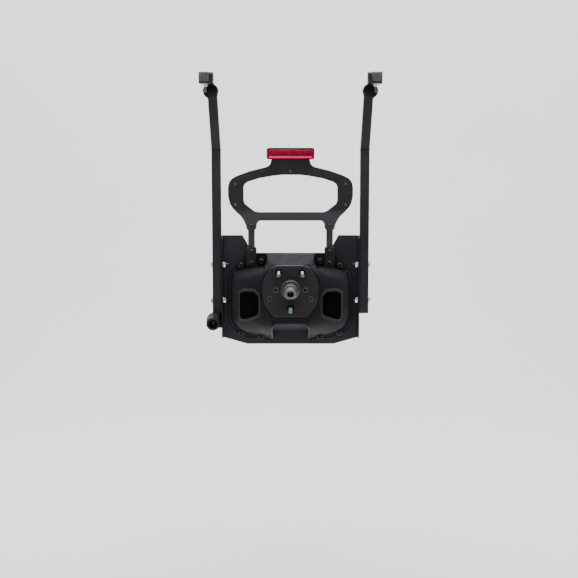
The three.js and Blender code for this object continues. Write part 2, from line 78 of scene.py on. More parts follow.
def remap(tree, value, low, high, out_low, out_high):
    node = tree.nodes.new("ShaderNodeMapRange")
    node.inputs["From Min"].default_value = low
    node.inputs["From Max"].default_value = high
    node.inputs["To Min"].default_value = out_low
    node.inputs["To Max"].default_value = out_high
    tree.links.new(value, node.inputs["Value"])
    return node.outputs["Result"]


def mix(tree, factor, base, tint):
    """Blends from the base's socket to the tint's colour."""
    node = tree.nodes.new("ShaderNodeMix")
    node.data_type = "RGBA"
    tree.links.new(factor, node.inputs["Factor"])
    tree.links.new(base, node.inputs[6])
    node.inputs[7].default_value = (*tint, 1.0)
    return node.outputs[2]


def bumps(tree, shader, layers):
    """Chains bump nodes: (height, strength, distance in mm)."""
    previous = None
    for height, strength, distance in layers:
        node = tree.nodes.new("ShaderNodeBump")
        node.inputs["Strength"].default_value = strength
        node.inputs["Distance"].default_value = distance * MM
        tree.links.new(height, node.inputs["Height"])
        if previous is not None:
            tree.links.new(previous, node.inputs["Normal"])
        previous = node.outputs["Normal"]
    tree.links.new(previous, shader.inputs["Normal"])


def vary_roughness(tree, shader, value, low, high):
    tree.links.new(remap(tree, value, 0.3, 0.7, low, high), shader.inputs["Roughness"])


def rubbed(tree, coords, base, worn, wear):
    """Shows a worn colour in patches on convex edges."""
    geometry = tree.nodes.new("ShaderNodeNewGeometry")
    edges = remap(tree, geometry.outputs["Pointiness"], 0.53, 0.6, 0.0, 1.0)
    patches = remap(tree, noise(tree, coords, 160.0, 6.0, 0.7), 0.45, 0.62, 0.0, wear)
    rub = tree.nodes.new("ShaderNodeMath")
    rub.operation = "MULTIPLY"
    tree.links.new(edges, rub.inputs[0])
    tree.links.new(patches, rub.inputs[1])
    return mix(tree, rub.outputs[0], base, worn)


def painted_light_by_height(tree, coords, base, clear, full, tint):
    """Brings in a colour between two heights in metres, as painted light."""
    place = tree.nodes.new("ShaderNodeSeparateXYZ")
    tree.links.new(coords.outputs["Object"], place.inputs[0])
    return mix(tree, remap(tree, place.outputs["Z"], clear, full, 0.0, 1.0), base, tint)


def coated(name, dark, light, rough, grain, worn=None, wear=0.0, specular=0.2, coarse=0.0, band=None,
           mottle=9.0):
    """A painted, coated or moulded dark surface with soft mottling.

    grain is the fine bump's (scale, strength, depth in mm), coarse the strength of a rolling bump,
    and band the (height without, height with, colour) of painted light that comes in with height.
    """
    mat, tree, shader, coords = nodes_of(name)
    color = ramp(tree, noise(tree, coords, mottle, 5.0, 0.6), [(0.3, dark), (0.7, light)])
    if wear:
        color = rubbed(tree, coords, color, worn, wear)
    if band:
        color = painted_light_by_height(tree, coords, color, *band)
    tree.links.new(color, shader.inputs["Base Color"])
    vary_roughness(tree, shader, noise(tree, coords, 30.0, 4.0, 0.6), rough - 0.06, rough + 0.07)
    shader.inputs["Specular IOR Level"].default_value = specular
    scale, strength, depth = grain
    layers = [(noise(tree, coords, scale, 3.0, 0.5), strength, depth)]
    if coarse:
        layers.insert(0, (noise(tree, coords, 60.0, 3.0, 0.5), coarse, 0.6))
    bumps(tree, shader, layers)
    return mat


def plated(name, color, tint, rough, metallic=1.0):
    """Bright or dark plated steel with a faint tint and fine turning marks."""
    mat, tree, shader, coords = nodes_of(name)
    base = ramp(tree, noise(tree, coords, 70.0, 4.0, 0.6), [(0.3, color), (0.72, tint)])
    tree.links.new(base, shader.inputs["Base Color"])
    vary_roughness(tree, shader, noise(tree, coords, 190.0, 4.0, 0.6), rough - 0.06, rough + 0.1)
    shader.inputs["Metallic"].default_value = metallic
    bumps(tree, shader, [(noise(tree, coords, 900.0, 2.0, 0.5), 0.12, 0.05)])
    return mat


def red_lens(name, low, high):
    """Clear red plastic that lets a little light in."""
    mat, tree, shader, coords = nodes_of(name)
    base = ramp(tree, noise(tree, coords, 60.0, 3.0, 0.5), [(0.3, low), (0.7, high)])
    tree.links.new(base, shader.inputs["Base Color"])
    vary_roughness(tree, shader, noise(tree, coords, 120.0), 0.22, 0.3)
    shader.inputs["Specular IOR Level"].default_value = 0.12
    shader.inputs["Coat Weight"].default_value = 0.06
    shader.inputs["Coat Roughness"].default_value = 0.1
    shader.inputs["Subsurface Weight"].default_value = 0.15
    shader.inputs["Subsurface Radius"].default_value = (0.006, 0.001, 0.001)
    bumps(tree, shader, [(noise(tree, coords, 320.0, 2.0), 0.08, 0.1)])
    return mat


def red_insert(name, low, high, rough):
    """Solid red plastic behind or on the lens."""
    mat, tree, shader, coords = nodes_of(name)
    base = ramp(tree, noise(tree, coords, 90.0), [(0.3, low), (0.7, high)])
    tree.links.new(base, shader.inputs["Base Color"])
    vary_roughness(tree, shader, noise(tree, coords, 150.0), rough - 0.05, rough + 0.08)
    shader.inputs["Specular IOR Level"].default_value = 0.2
    bumps(tree, shader, [(noise(tree, coords, 400.0), 0.1, 0.08)])
    return mat


def dark_glass(name, low, high):
    mat, tree, shader, coords = nodes_of(name)
    base = ramp(tree, noise(tree, coords, 50.0), [(0.3, low), (0.7, high)])
    tree.links.new(base, shader.inputs["Base Color"])
    shader.inputs["Roughness"].default_value = 0.04
    shader.inputs["Coat Weight"].default_value = 1.0
    shader.inputs["Coat Roughness"].default_value = 0.02
    return mat


# -------- materials
CAST = coated("cast_black_coat", (0.0085, 0.0086, 0.0102), (0.0125, 0.0126, 0.0142), 0.6, (620.0, 0.3, 0.14),
              worn=(0.07, 0.07, 0.072), wear=0.35, coarse=0.08, specular=0.09)
DISC = coated("disc_black_coat", (0.013, 0.0127, 0.0134), (0.017, 0.0166, 0.0174), 0.45, (700.0, 0.22, 0.1))
PLATE = coated("plate_black_coat", (0.0085, 0.0085, 0.0115), (0.0125, 0.0125, 0.016), 0.42,
               (1300.0, 0.25, 0.07))
# The warm brown that comes in above 0.425 m, on the upper legs, collar and cradle, is a painted reflection of
# the ground.
LEGS = coated("leg_textured_coat_painted_reflection", (0.0112, 0.011, 0.0128), (0.0155, 0.0152, 0.017), 0.5, (1500.0, 0.5, 0.1),
              band=(0.425, 0.46, (0.02, 0.0165, 0.0148)))
WELD = coated("weld_bead_coat", (0.013, 0.013, 0.014), (0.018, 0.018, 0.019), 0.45, (900.0, 0.3, 0.1))
# The lighter grey that comes in below 0.25 m, on the arms and the hoop's lower part, is a painted highlight.
HOOP = coated("bracket_grained_plastic_painted_highlight", (0.0135, 0.0126, 0.0114), (0.0185, 0.0173, 0.0158), 0.55,
              (1050.0, 0.55, 0.14), band=(0.25, 0.228, (0.042, 0.0415, 0.045)))
SADDLE = coated("saddle_grainy_cast", (0.012, 0.012, 0.014), (0.13, 0.13, 0.135), 0.68, (420.0, 0.8, 0.5),
                coarse=0.4, mottle=330.0)
RUBBER = coated("black_rubber", (0.007, 0.007, 0.0075), (0.012, 0.012, 0.0125), 0.6, (800.0, 0.4, 0.12),
                worn=(0.05, 0.05, 0.05), wear=0.5)
HUB = coated("hub_ring_coat", (0.024, 0.0235, 0.0245), (0.034, 0.033, 0.034), 0.36, (700.0, 0.2, 0.08),
             specular=0.5)
CAMERA = coated("camera_black_gloss", (0.004, 0.004, 0.005), (0.007, 0.007, 0.008), 0.2, (500.0, 0.05, 0.05))
LAMP_CASE = coated("lamp_case_black", (0.006, 0.006, 0.007), (0.01, 0.01, 0.011), 0.35, (900.0, 0.15, 0.06))
# A lighter coat for fine lines along edges and rims: painted highlights.
PAINTED_HIGHLIGHT = coated("painted_highlight_coat", (0.046, 0.045, 0.045), (0.066, 0.064, 0.063), 0.42, (900.0, 0.2, 0.08))
# A lighter coat for the rims of the disc's side holes: a painted highlight.
COUNTERSINK_HIGHLIGHT = coated("countersink_painted_highlight", (0.058, 0.056, 0.053), (0.08, 0.078, 0.074), 0.42,
                     (900.0, 0.2, 0.06))
RECESS = coated("recess_shadow_steel", (0.004, 0.004, 0.004), (0.009, 0.009, 0.009), 0.6, (700.0, 0.2, 0.08))
BLACK_STEEL = coated("blackened_steel", (0.012, 0.0115, 0.011), (0.02, 0.019, 0.018), 0.45,
                     (900.0, 0.2, 0.06))
DARK = plated("dark_plated_steel", (0.045, 0.044, 0.042), (0.085, 0.082, 0.076), 0.36, 0.9)
# Lighter steel for the screw flanges and the small screw heads.
BRIGHT_EDGE = plated("bright_flange_steel", (0.09, 0.086, 0.08), (0.16, 0.155, 0.145), 0.42, 0.85)
ZINC = plated("bright_zinc_steel", (0.72, 0.75, 0.74), (0.62, 0.66, 0.67), 0.24)
THREAD = plated("zinc_thread_steel", (0.12, 0.19, 0.19), (0.22, 0.28, 0.265), 0.3)
TUBE = plated("camera_tube_satin", (0.34, 0.325, 0.31), (0.46, 0.44, 0.42), 0.34, 0.92)
# A dark warm coat for the tube's down-facing nose: painted shade with a painted warm ground reflection.
NOSE_SHADE = plated("camera_nose_painted_shade", (0.04, 0.0345, 0.0275), (0.062, 0.054, 0.043), 0.5, 0.3)
SLEEVE = plated("sleeve_satin", (0.085, 0.084, 0.086), (0.13, 0.128, 0.13), 0.36, 0.6)
LENS = red_lens("lamp_red_lens", (0.24, 0.0, 0.02), (0.32, 0.0, 0.032))
LENS_BRIGHT = red_insert("lamp_bright_band", (0.78, 0.012, 0.13), (0.9, 0.04, 0.2), 0.3)
LENS_DEEP = red_insert("lamp_led_red", (0.045, 0.0, 0.004), (0.07, 0.0, 0.007), 0.35)
GLASS = dark_glass("camera_lens_glass", (0.004, 0.004, 0.008), (0.01, 0.009, 0.016))


# -------- mesh helpers
def add_object(name, mesh):
    obj = bpy.data.objects.new(name, mesh)
    bpy.context.scene.collection.objects.link(obj)
    return obj


def mesh_object(name, bm, material):
    bmesh.ops.recalc_face_normals(bm, faces=bm.faces)
    mesh = bpy.data.meshes.new(name)
    bm.to_mesh(mesh)
    bm.free()
    mesh.materials.append(material)
    return add_object(name, mesh)


def settle(obj):
    """Applies the object's modifiers."""
    graph = bpy.context.evaluated_depsgraph_get()
    done = bpy.data.meshes.new_from_object(obj.evaluated_get(graph))
    old = obj.data
    obj.modifiers.clear()
    obj.data = done
    done.name = obj.name
    if old.users == 0:
        bpy.data.meshes.remove(old)
    return obj


def soften(obj, angle=32.0):
    """Smooth shading that keeps edges sharper than angle."""
    bm = bmesh.new()
    bm.from_mesh(obj.data)
    limit = math.radians(angle)
    for face in bm.faces:
        face.smooth = True
    for edge in bm.edges:
        edge.smooth = len(edge.link_faces) == 2 and edge.calc_face_angle(0.0) < limit
    bm.to_mesh(obj.data)
    bm.free()
    return obj


def smooth_all(obj):
    for face in obj.data.polygons:
        face.use_smooth = True


def bevel(obj, width, segments=3, angle=40.0):
    mod = obj.modifiers.new("bevel", "BEVEL")
    mod.width = width * MM
    mod.segments = segments
    mod.limit_method = "ANGLE"
    mod.angle_limit = math.radians(angle)
    mod.use_clamp_overlap = True
    mod.miter_outer = "MITER_ARC"
    return settle(obj)


def boolean(obj, tool, operation="DIFFERENCE", keep=False):
    mod = obj.modifiers.new("boolean", "BOOLEAN")
    mod.operation = operation
    mod.solver = "MANIFOLD"
    mod.object = tool
    settle(obj)
    if not keep:
        bpy.data.objects.remove(tool, do_unlink=True)
    return obj


def clean(obj, flat):
    """Merges near points and dissolves needless edges after booleans."""
    bm = bmesh.new()
    bm.from_mesh(obj.data)
    bmesh.ops.remove_doubles(bm, verts=bm.verts, dist=0.02 * MM)
    bmesh.ops.dissolve_limit(bm, angle_limit=math.radians(flat), verts=bm.verts, edges=bm.edges)
    bm.to_mesh(obj.data)
    bm.free()
    return obj


def finished(obj, width, segments=3, angle=40.0, flat=0.2, soft=32.0):
    """Cleans, bevels and softens a piece after booleans."""
    clean(obj, flat)
    bevel(obj, width, segments, angle)
    return soften(obj, soft)


def remeshed(obj, voxel):
    mod = obj.modifiers.new("remesh", "REMESH")
    mod.mode = "VOXEL"
    mod.voxel_size = voxel * MM
    return settle(obj)


# Each axis has the two directions of its rings and the direction of their heights.
RIGHT, INWARD, UP = Vector((1, 0, 0)), Vector((0, 1, 0)), Vector((0, 0, 1))
FRONT = "-y"
AXES = {
    "x": (INWARD, UP, RIGHT),
    "-x": (INWARD, UP, -RIGHT),
    "y": (RIGHT, UP, INWARD),
    FRONT: (RIGHT, UP, -INWARD),
    "z": (RIGHT, INWARD, UP),
}


def walls(bm, low, high):
    """Joins two rings of points with faces."""
    count = len(low)
    for i in range(count):
        j = (i + 1) % count
        bm.faces.new((low[i], low[j], high[j], high[i]))


def stack(name, rings, material, at, axis, close="both"):
    """A closed solid from rings of (height, radii), with one radius for each direction.

    The ends are capped, or with close="ring" the last ring joins the first.
    """
    u, v, h = AXES[axis]
    origin = Vector(at)
    count = len(rings[0][1])
    bm = bmesh.new()
    loops = []
    for height, radii in rings:
        loop = []
        for i, radius in enumerate(radii):
            a = 2 * math.pi * i / count
            point = origin + u * (radius * math.cos(a)) + v * (radius * math.sin(a)) + h * height
            loop.append(bm.verts.new(point * MM))
        loops.append(loop)
    for low, high in zip(loops, loops[1:]):
        walls(bm, low, high)
    if close == "ring":
        walls(bm, loops[-1], loops[0])
    else:
        for loop, height in ((loops[0], rings[0][0]), (loops[-1], rings[-1][0])):
            centre = bm.verts.new((origin + h * height) * MM)
            for i in range(count):
                bm.faces.new((loop[i], loop[(i + 1) % count], centre))
    return mesh_object(name, bm, material)


def lathe(name, profile, material, at, axis, sides=64, close="both"):
    return stack(name, [(height, [radius] * sides) for radius, height in profile], material, at, axis, close)


def rod(name, radius, start, end, at, axis, material, sides=40):
    return lathe(name, [(radius, start), (radius, end)], material, at, axis, sides)


def drill(obj, radius, start, end, at, axis="y", sides=40):
    boolean(obj, rod("hole", radius, start, end, at, axis, obj.data.materials[0], sides))


HEX_SIDES = 72


def hexagon(across):
    """Radii of a hexagon in HEX_SIDES directions."""
    radii = []
    for i in range(HEX_SIDES):
        a = math.degrees(2 * math.pi * i / HEX_SIDES) % 60 - 30
        radii.append(across / 2 / math.cos(math.radians(a)))
    return radii


def even(radius):
    return [radius] * HEX_SIDES


def chamfer_rings(full, start, end, start_limit, end_limit):
    """Rings between two heights that cut the corners of a hexagon back to a changing limit."""
    rings = []
    for k in range(5):
        t = k / 4
        limit = start_limit + (end_limit - start_limit) * t
        rings.append((start + (end - start) * t, [min(radius, limit) for radius in full]))
    return rings


def thread_rings(radius, start, end, pitch, sides, depth, chamfer):
    """Rings of a helical thread that runs out into a chamfered tip."""
    steps = max(4, int(round((end - start) / pitch * 5)))
    rings = []
    for k in range(steps + 1):
        height = start + (end - start) * k / steps
        tip = max(0.0, (height - (end - chamfer)) / chamfer)
        radii = []
        for i in range(sides):
            phase = (height / pitch - i / sides) % 1.0
            groove = 1 - abs(2 * phase - 1)
            radii.append(min(radius - depth * groove, radius - tip * chamfer * 0.9))
        rings.append((height, radii))
    return rings


def join_objects(name, objects):
    """Joins pieces into one object that keeps all their materials."""
    bm = bmesh.new()
    slots = []
    for obj in objects:
        for material in obj.data.materials:
            if material not in slots:
                slots.append(material)
        moved = [slots.index(material) for material in obj.data.materials]
        before = len(bm.faces)
        bm.from_mesh(obj.data)
        bm.faces.ensure_lookup_table()
        for face in bm.faces[before:]:
            face.material_index = moved[face.material_index]
    mesh = bpy.data.meshes.new(name)
    bm.to_mesh(mesh)
    bm.free()
    for material in slots:
        mesh.materials.append(material)
    for obj in objects:
        bpy.data.objects.remove(obj, do_unlink=True)
    return add_object(name, mesh)


def prism(name, outline, start, end, material, axis="y"):
    """A prism of a closed outline; axis y takes (x, z) points, x takes (y, z), z takes (x, y)."""
    where = "xyz".index(axis)
    bm = bmesh.new()
    rings = []
    for place in (start, end):
        ring = []
        for pair in outline:
            point = list(pair)
            point.insert(where, place)
            ring.append(bm.verts.new(Vector(point) * MM))
        rings.append(ring)
    walls(bm, rings[0], rings[1])
    bm.faces.new(rings[0])
    bm.faces.new(list(reversed(rings[1])))
    return mesh_object(name, bm, material)


def block(name, lo, hi, material):
    outline = [(lo[0], lo[2]), (hi[0], lo[2]), (hi[0], hi[2]), (lo[0], hi[2])]
    return prism(name, outline, lo[1], hi[1], material)


def hull(points):
    bm = bmesh.new()
    for point in points:
        bm.verts.new(Vector(point) * MM)
    bmesh.ops.convex_hull(bm, input=bm.verts)
    bmesh.ops.delete(bm, geom=[v for v in bm.verts if not v.link_faces], context="VERTS")
    return mesh_object("hull", bm, CAST)


# -------- outlines
def arc(cx, cy, r, start, end, steps):
    points = []
    for i in range(steps + 1):
        a = math.radians(start + (end - start) * i / steps)
        points.append((cx + r * math.cos(a), cy + r * math.sin(a)))
    return points


def rounded_rect(x0, x1, z0, z1, r, steps=8):
    return (arc(x1 - r, z1 - r, r, 0, 90, steps) + arc(x0 + r, z1 - r, r, 90, 180, steps)
            + arc(x0 + r, z0 + r, r, 180, 270, steps) + arc(x1 - r, z0 + r, r, 270, 360, steps))


def flipped(outline):
    return [(-x, z) for x, z in reversed(outline)]


def symmetric(half):
    return list(half) + flipped(half)


def rounded(outline, radius, steps=5):
    """Rounds the corners of a closed outline."""
    points = [Vector(p) for p in outline]
    done = []
    for i, corner in enumerate(points):
        before, after = points[i - 1] - corner, points[(i + 1) % len(points)] - corner
        turn = math.pi - before.angle(after, math.pi)
        if turn < 0.03:
            done.append(tuple(corner))
            continue
        reach = min(radius * math.tan(turn / 2), before.length * 0.48, after.length * 0.48)
        a = corner + before.normalized() * reach
        b = corner + after.normalized() * reach
        for k in range(steps + 1):
            t = k / steps
            done.append(tuple(a * (1 - t) ** 2 + corner * (2 * t * (1 - t)) + b * t ** 2))
    return done


def grown(outline, amount, about):
    """Moves each point of an outline away from the point about."""
    done = []
    for x, z in outline:
        away = Vector((x - about[0], z - about[1]))
        away *= (away.length + amount) / away.length
        done.append((about[0] + away.x, about[1] + away.y))
    return done


# -------- welds and painted highlight lines
BEAD_STEP = 0.8
BEAD_PITCH = 3.2


def bead(name, path, radius, material, closed=True, ripple=0.18, sides=10):
    """A weld bead along a path of points; ripple is how much its passes swell."""
    points = [Vector(p) for p in path]
    if closed:
        points.append(points[0])
    fine = [points[0]]
    for a, b in zip(points, points[1:]):
        steps = max(1, int((b - a).length / BEAD_STEP))
        fine += [a.lerp(b, k / steps) for k in range(1, steps + 1)]
    if closed:
        fine.pop()
    count = len(fine)
    bm = bmesh.new()
    loops = []
    travelled = 0.0
    for i, point in enumerate(fine):
        behind = fine[i - 1] if closed or i else point
        ahead = fine[(i + 1) % count] if closed or i < count - 1 else point
        tangent = (ahead - behind).normalized()
        travelled += (point - fine[i - 1]).length if i else 0.0
        r = radius * (1 + ripple * (abs(math.sin(math.pi * travelled / BEAD_PITCH)) - 0.5))
        side = tangent.cross(Vector((0.13, 0.21, 0.97)))
        if side.length < 0.1:
            side = tangent.cross(Vector((0.97, 0.2, 0.1)))
        side.normalize()
        up = tangent.cross(side).normalized()
        loop = []
        for k in range(sides):
            a = 2 * math.pi * k / sides
            loop.append(bm.verts.new((point + side * (r * math.cos(a)) + up * (r * math.sin(a))) * MM))
        loops.append(loop)
    for low, high in zip(loops, loops[1:]):
        walls(bm, low, high)
    if closed:
        walls(bm, loops[-1], loops[0])
    else:
        bm.faces.new(loops[0])
        bm.faces.new(list(reversed(loops[-1])))
    return soften(mesh_object(name, bm, material), 60)


def surface_of(obj):
    bm = bmesh.new()
    bm.from_mesh(obj.data)
    tree = BVHTree.FromBMesh(bm)
    bm.free()
    return tree


def edge_line(name, outline, surface, radius, closed=True):
    """A fine line in a lighter coat laid along an outline on the front of a surface, as a painted highlight.
    """
    path = []
    points = list(outline) + ([outline[0]] if closed else [])
    for (x0, z0), (x1, z1) in zip(points, points[1:]):
        steps = max(1, int(math.hypot(x1 - x0, z1 - z0) / 2.0))
        for k in range(steps):
            x, z = x0 + (x1 - x0) * k / steps, z0 + (z1 - z0) * k / steps
            hit = surface.ray_cast(Vector((x, -400, z)) * MM, Vector((0, 1, 0)))[0]
            if hit is not None:
                path.append((x, hit.y / MM + radius * 0.35, z))
    return bead(name, path, radius, PAINTED_HIGHLIGHT, closed, ripple=0.0, sides=8)


# -------- bodies, slots, sides
BODY = {}
for body_name, body_nodes in frame["record"]["behaviour"]["bodies"].items():
    for body_node in body_nodes:
        BODY[body_node] = body_name
SIDES = ((1, "right"), (-1, "left"))


def stands_for(obj, node):
    """The piece takes the place of a CAD node, on its body."""
    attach(obj, BODY[node])
    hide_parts(node)


def detail(obj, body="carrier"):
    """The piece is an extra that no CAD node has."""
    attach(obj, body)


def mirrored(obj, name):
    mesh = obj.data.copy()
    mesh.transform(Matrix.Scale(-1, 4, Vector((1, 0, 0))))
    mesh.flip_normals()
    mesh.name = name
    return add_object(name, mesh)


def both_sides(obj, node):
    """Stands for node_right, and a mirror image stands for node_left."""
    obj.name = f"{node}_right_skin"
    other = mirrored(obj, f"{node}_left_skin")
    stands_for(obj, f"{node}_right")
    stands_for(other, f"{node}_left")


def detail_pair(obj):
    base = obj.name
    other = mirrored(obj, base + "_left")
    obj.name = base + "_right"
    detail(obj)
    detail(other)


# -------- camera, light, floor
EYE = (0.0, -3.9917, 0.5044)
LOOKS_DOWN = 7.5477
FLOOR_Z = -0.97
FLOOR_END = 2.2
COVE = 1.5
scene = bpy.context.scene


def view():
    data = bpy.data.cameras.new("camera")
    data.lens = 74.74
    data.sensor_width = 36
    data.shift_x = -0.0026
    camera = bpy.data.objects.new("camera", data)
    camera.location = EYE
    camera.rotation_euler = (math.radians(90 - LOOKS_DOWN), 0, 0)
    scene.collection.objects.link(camera)
    scene.camera = camera


def surroundings():
    world = bpy.data.worlds.new("studio")
    world.use_nodes = True
    background = world.node_tree.nodes["Background"]
    background.inputs["Color"].default_value = (0.93, 0.95, 1.0, 1)
    background.inputs["Strength"].default_value = 0.26
    scene.world = world


def area(name, place, aim, size, power, color=(1, 1, 1)):
    data = bpy.data.lights.new(name, "AREA")
    data.shape = "RECTANGLE"
    data.size, data.size_y = size
    data.energy = power
    data.color = color
    light = bpy.data.objects.new(name, data)
    light.location = place
    light.rotation_euler = (Vector(aim) - Vector(place)).to_track_quat("-Z", "Y").to_euler()
    scene.collection.objects.link(light)


def backdrop():
    """A pale floor that curves up into a wall, in metres."""
    bm = bmesh.new()
    path = [(-9.0, FLOOR_Z), (FLOOR_END, FLOOR_Z)]
    for degrees in range(6, 91, 6):
        a = math.radians(degrees)
        path.append((FLOOR_END + COVE * math.sin(a), FLOOR_Z + COVE - COVE * math.cos(a)))
    path.append((FLOOR_END + COVE, 6.0))
    rows = [[bm.verts.new((x, y, z)) for y, z in path] for x in (-9.0, 9.0)]
    for i in range(len(path) - 1):
        bm.faces.new((rows[0][i], rows[0][i + 1], rows[1][i + 1], rows[1][i]))
    mat, tree, shader, coords = nodes_of("pale_floor")
    color = ramp(tree, noise(tree, coords, 1.5), [(0.2, (0.9, 0.9, 0.9)), (0.8, (0.93, 0.93, 0.93))])
    tree.links.new(color, shader.inputs["Base Color"])
    shader.inputs["Roughness"].default_value = 0.9
    obj = mesh_object("floor", bm, mat)
    smooth_all(obj)


view()
surroundings()
area("overhead", (0, -0.3, 3.2), (0, 0.1, 0.1), (4.2, 2.2), 265, (0.95, 0.97, 1.0))
area("front_fill", (0.0, -5.2, 2.2), (0, 0, 0.2), (2.6, 1.2), 78)
area("backdrop_left", (-2.6, 0.9, 2.6), (-1.0, 3.4, 0.6), (2.0, 2.0), 90)
area("backdrop_right", (2.6, 0.9, 2.6), (1.0, 3.4, 0.6), (2.0, 2.0), 90)
backdrop()


# -------- tailgate plate
CASTING_BOLTS = [("upper_outer", 164, 57), ("upper_inner", 98, 70),
                 ("lower_outer", 164, -170), ("lower_inner", 98, -183)]
PLATE_FRONT = -5
PLATE_SIDE = 229


def tailgate_plate():
    half = [(128, 92), (144, 129), (160, 157), (PLATE_SIDE, 157), (PLATE_SIDE, -186), (145, -210)]
    plate = prism("tailgate_plate_skin", symmetric(half), 0, PLATE_FRONT, PLATE)
    fold = rounded([(0, 157), (-34, 157), (-42, 149), (-42, -178), (-34, -186), (0, -186)], 3)
    for side, _ in SIDES:
        boolean(plate, prism("fold", fold, side * PLATE_SIDE, side * (PLATE_SIDE - 4.5), PLATE, "x"), "UNION")
    stands_for(finished(plate, 1.1, angle=35), "tailgate_plate")
    for side, tag in SIDES:
        path = [(side * 224.2, -5.1, z) for z in (-183, 154)]
        detail(bead(f"fold_seam_{tag}", path, 0.9, PLATE, closed=False, ripple=0.1))


tailgate_plate()


# -------- carrier casting
# The dome's sections: (depth, wall, right half of the outline), from the flange to the wheel disc.
CENTRE = (0.0, -40.0)
DOME = [
    (-17, 9, [(60, 80), (112, 52), (160, 45), (187, 38), (195, 24), (197, -124), (188, -144), (166, -162),
              (139, -173), (114, -178), (100, -182), (64, -190)]),
    (-66, 9, [(60, 80), (108, 54), (155, 47), (183, 38), (191, 24), (192, -112), (184, -132), (162, -150),
              (130, -160), (64, -168)]),
    (-108, 9, [(56, 78), (104, 56), (150, 44), (168, 32), (174, 16), (174, -92), (166, -110), (142, -130),
               (100, -146), (64, -152)]),
    (-144, 9, [(52, 76), (94, 58), (126, 38), (136, 22), (138, -66), (126, -92), (92, -122), (62, -132)]),
    (-165, 8, [(44, 75), (64, 67), (86, 44), (98, 12), (98, -24), (86, -60), (62, -112), (50, -120)]),
]
WINDOW = [(103, -28), (103, -82), (109, -91), (146, -107), (158, -108), (165, -100), (165, -22), (148, -12.5),
          (117, -12.5)]
WINDOW_MIDDLE = (135, -58)
FLANGE = [(80, 98.5), (143, 98.5), (154, 88), (192, 47), (203, 32), (206, 18), (206, -128), (203, -140),
          (196, -152), (174, -178), (141, -187), (100, -192), (66, -197)]
FLANGE_BACK, FLANGE_FRONT = -5.3, -17
FOOT_LINE = [(186, 42), (200, 27), (201.5, -126), (192, -148), (169, -166), (141, -177.5), (114, -182.5),
             (102, -186)]
ARCH_LINE = symmetric([(61, -196), (60.5, -137), (54.5, -123), (49, -116.5)])[::-1]
ARCH_SLOPE = [(-190, -119), (-140, -119), (-16, -166), (10, -166), (10, -230), (-190, -230)]
ARCH_HALF = [(38, -60), (42, -112), (52, -124), (58, -136), (58, -230)]
WEB_WALL = 8


def polar(outline, count=192, blur=2.2):
    """Radius of a closed outline about CENTRE at even angles, with its corners eased."""
    points = [(x - CENTRE[0], z - CENTRE[1]) for x, z in outline]
    radii = np.zeros(count)
    for i in range(count):
        a = 2 * math.pi * i / count
        dx, dz = math.cos(a), math.sin(a)
        for (x0, z0), (x1, z1) in zip(points, points[1:] + points[:1]):
            ex, ez = x1 - x0, z1 - z0
            det = dx * -ez + ex * dz
            if abs(det) < 1e-9:
                continue
            t = (x0 * -ez + ex * z0) / det
            s = (dx * z0 - dz * x0) / det
            if t > 0 and -1e-9 <= s <= 1 + 1e-9:
                radii[i] = max(radii[i], t)
    reach = np.arange(-9, 10)
    weights = np.exp(-0.5 * (reach / blur) ** 2)
    weights /= weights.sum()
    return sum(w * np.roll(radii, r) for w, r in zip(weights, reach))


def dome(grow=0.0, inset=False):
    """The casting's smooth body; grow widens it, inset gives its hollow instead."""
    places, rows = [], []
    for y, wall, half in DOME:
        places.append(y + (7.5 if inset else 0.0) - grow)
        rows.append(polar(symmetric(half)) + grow - (wall if inset else 0.0))
    if inset:
        places.insert(0, 4.0)
        rows.insert(0, rows[0] - 5.0)
    steps = 10
    last = len(rows) - 2
    rings = []
    for k in range(last + 1):
        low, high = max(k - 1, 0), min(k + 2, last + 1)
        width = places[k + 1] - places[k]
        m0 = (rows[k + 1] - rows[low]) / (places[k + 1] - places[low]) * width
        m1 = (rows[high] - rows[k]) / (places[high] - places[k]) * width
        for i in range(steps + (k == last)):
            t = i / steps
            t2, t3 = t * t, t * t * t
            h = (2 * t3 - 3 * t2 + 1, t3 - 2 * t2 + t, -2 * t3 + 3 * t2, t3 - t2)
            rings.append((places[k] + width * t, h[0] * rows[k] + h[1] * m0 + h[2] * rows[k + 1] + h[3] * m1))
    return stack("dome", rings, CAST, (CENTRE[0], 0, CENTRE[1]), "y")


def arch_tool(name, slope, half, reach):
    """The sloped space below the arch, between two side walls."""
    tool = prism(name, slope, -reach, reach, CAST, "x")
    return boolean(tool, prism("sides", half, 10, -190, CAST), "INTERSECT")


